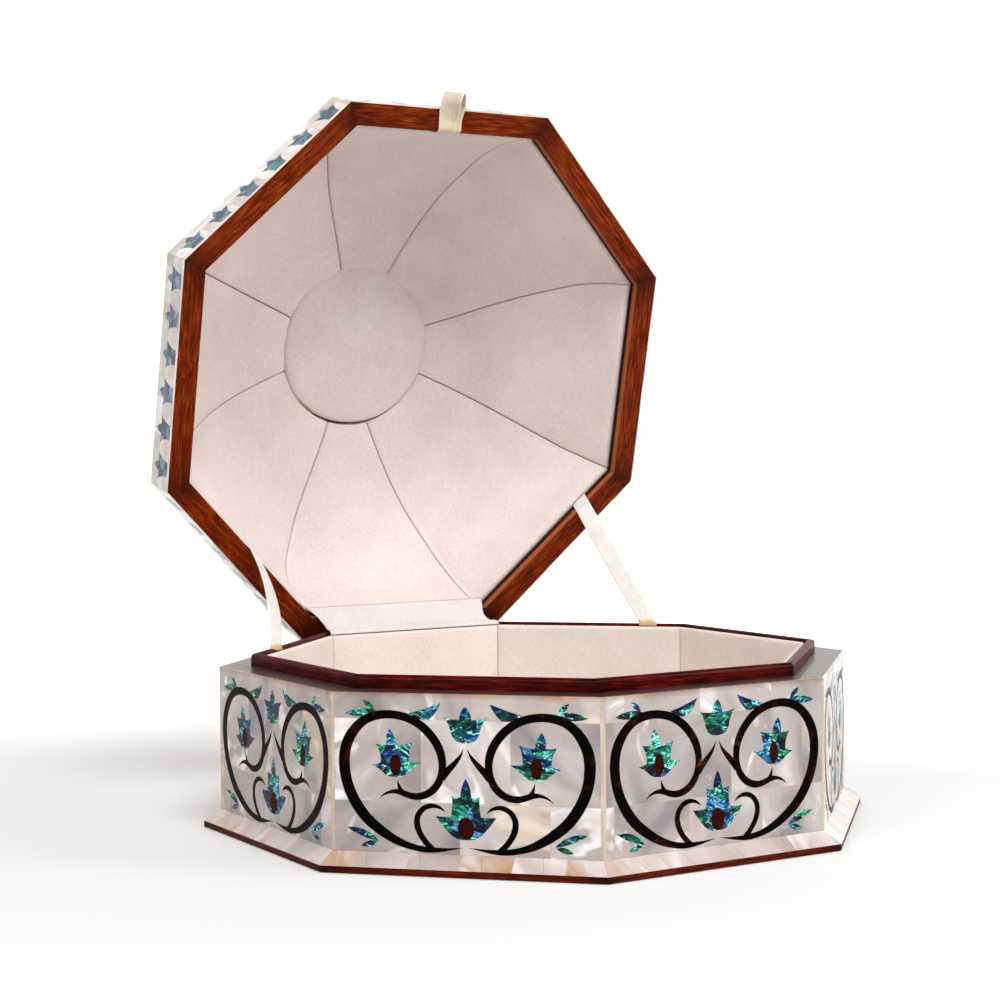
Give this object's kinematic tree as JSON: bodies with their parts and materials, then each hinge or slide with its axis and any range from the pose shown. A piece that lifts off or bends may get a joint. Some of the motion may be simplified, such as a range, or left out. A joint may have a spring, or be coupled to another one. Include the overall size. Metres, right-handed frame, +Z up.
{
  "type": "lidded box",
  "caption": "Octagonal wooden box with a domed hinged lid, clad in mother-of-pearl with shell and tortoiseshell inlays, lined in cream cloth, lid held open by ribbon stays.",
  "frame": {"origin": "centre of the base board's underside, where the box stands", "axes": "+Z up, -Y towards the front, where the pull tab is, hinges along the +Y side, +X to the right seen from the front. The rest pose has the lid open, leaning back against its taut ribbon stays."},
  "size_m": [0.3166, 0.3887, 0.3795],
  "materials": {
    "base_wood": "satin dark red-brown wood",
    "wall_wood": "plain sawn wood, hidden",
    "ledge_lacquer": "dark brown lacquer",
    "lip_wood": "polished dark mahogany",
    "rim_wood": "satin reddish brown wood",
    "lid_wood": "plain sawn wood, hidden",
    "side_shell": "polished mother-of-pearl",
    "band_shell": "polished mother-of-pearl",
    "dome_shell": "polished mother-of-pearl",
    "plinth_shell": "polished mother-of-pearl, partly golden",
    "corner_bone": "polished pale strip",
    "abalone": "polished abalone shell",
    "band_abalone": "polished abalone shell",
    "tortoiseshell": "polished dark tortoiseshell",
    "base_cloth": "fine cream cloth",
    "lid_cloth": "fine cream cloth",
    "hinge_cloth": "fine cream cloth",
    "stay_satin": "white satin ribbon",
    "tab_satin": "cream satin ribbon",
    "hinge_brass": "plain brass",
    "screw_brass": "plain brass"
  },
  "bodies": {
    "base": {"base_board": "base_wood", "corner_strips": "corner_bone", "floor_pad": "base_cloth", "flower_inlay": "abalone", "hinge_cloth": "hinge_cloth", "hinge_left_base_leaf": "hinge_brass", "hinge_left_pin": "hinge_brass", "hinge_right_base_leaf": "hinge_brass", "hinge_right_pin": "hinge_brass", "hinge_screws_base": "screw_brass", "ledge_frame": "ledge_lacquer", "lip_frame": "lip_wood", "plinth_moulding": "wall_wood", "plinth_shell_tiles": "plinth_shell", "scroll_inlay": "tortoiseshell", "shell_veneer_back": "side_shell", "shell_veneer_back_left": "side_shell", "shell_veneer_back_right": "side_shell", "shell_veneer_front": "side_shell", "shell_veneer_front_left": "side_shell", "shell_veneer_front_right": "side_shell", "shell_veneer_left": "side_shell", "shell_veneer_right": "side_shell", "stay_ribbon_left": "stay_satin", "stay_ribbon_right": "stay_satin", "wall_back": "wall_wood", "wall_back_left": "wall_wood", "wall_back_right": "wall_wood", "wall_front": "wall_wood", "wall_front_left": "wall_wood", "wall_front_right": "wall_wood", "wall_left": "wall_wood", "wall_lining": "base_cloth", "wall_right": "wall_wood"},
    "lid": {"hinge_left_lid_leaf": "hinge_brass", "hinge_right_lid_leaf": "hinge_brass", "hinge_screws_lid": "screw_brass", "lid_band_boards": "lid_wood", "lid_band_tulips": "band_abalone", "lid_band_veneer": "band_shell", "lid_button_pad": "lid_cloth", "lid_crown": "lid_wood", "lid_crown_boss": "tortoiseshell", "lid_crown_star": "abalone", "lid_crown_veneer": "dome_shell", "lid_dome_flowers": "abalone", "lid_dome_scrolls": "tortoiseshell", "lid_dome_veneer": "dome_shell", "lid_gores": "lid_cloth", "lid_lower_staves": "lid_wood", "lid_middle_staves": "lid_wood", "lid_rim_frame": "rim_wood", "lid_upper_staves": "lid_wood", "pull_tab": "tab_satin"}
  },
  "joints": [
    {"name": "lid_hinge", "type": "hinge", "parent": "base", "child": "lid", "pos_m": [0, 0.1492, 0.08057], "axis": [-1, 0, 0], "range_deg": [-77, 0], "deforming": ["stay_ribbon_left", "stay_ribbon_right", "hinge_cloth"]}
  ]
}
